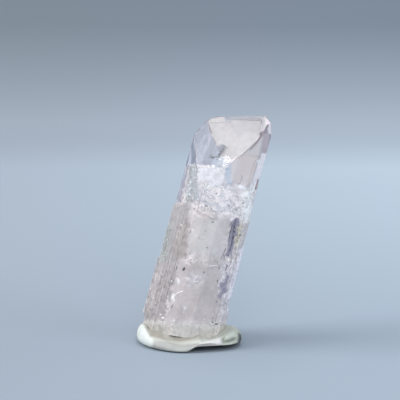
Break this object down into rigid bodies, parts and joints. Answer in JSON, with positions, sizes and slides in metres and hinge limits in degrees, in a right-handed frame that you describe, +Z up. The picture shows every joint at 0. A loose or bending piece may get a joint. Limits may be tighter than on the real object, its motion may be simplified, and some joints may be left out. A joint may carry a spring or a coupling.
{
  "type": "danburite crystal",
  "caption": "Pale lavender-pink, transparent danburite crystal, a long prism with a chisel-shaped top, leaning in a pressed pad of pale putty that holds it up.",
  "frame": {"origin": "middle of the putty pad's flat underside, on the surface that the specimen stands on", "axes": "+Z up, -Y towards the viewer of the great sloping face, +X the way the crystal leans"},
  "size_m": [0.0232, 0.0148, 0.0399],
  "materials": {
    "danburite": "natural glassy crystal, limpid at the top, veiled and etched below",
    "mineral_putty": "soft matte putty, finger pressed"
  },
  "bodies": {
    "root": {"crystal": "danburite", "putty_pad": "mineral_putty"}
  },
  "joints": []
}
